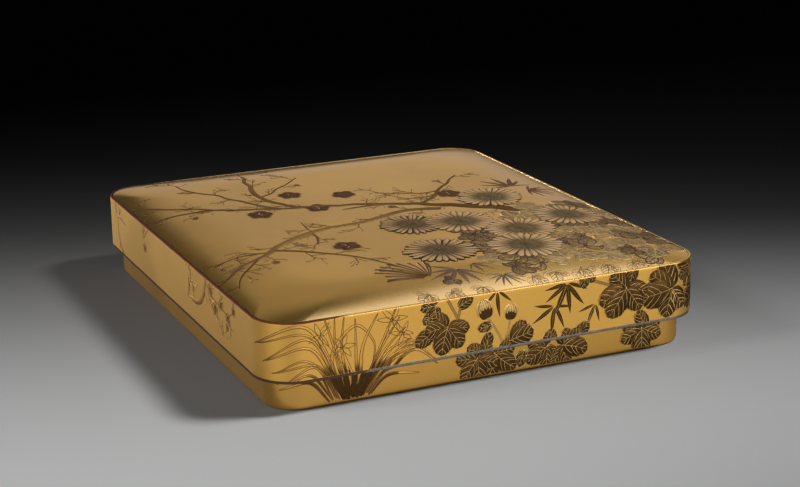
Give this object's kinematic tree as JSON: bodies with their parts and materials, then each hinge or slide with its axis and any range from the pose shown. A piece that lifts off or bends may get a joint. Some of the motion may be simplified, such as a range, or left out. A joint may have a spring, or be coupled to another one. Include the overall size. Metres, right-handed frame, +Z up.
{
  "type": "writing box",
  "caption": "Low rectangular lacquered writing box with rounded corners and a deep, slightly domed lift-off lid that comes down over it and ends in a thin metal rim.",
  "frame": {"origin": "middle of the underside, on the surface that the box stands on", "axes": "+X along the short front side to the right, +Y from the front to the back along the long side, +Z up"},
  "size_m": [0.2222, 0.2502, 0.0468],
  "materials": {
    "lid_lacquer": "polished gold lacquer on thin wood",
    "box_lacquer": "polished gold lacquer on thin wood",
    "pewter": "dull grey pewter",
    "dark_ornament": "dark brown lacquer, laid on",
    "gold_ornament": "gold powder, laid on"
  },
  "bodies": {
    "root": {"lower_box": "box_lacquer", "lid": "lid_lacquer", "lid_rim": "pewter"}
  },
  "joints": []
}
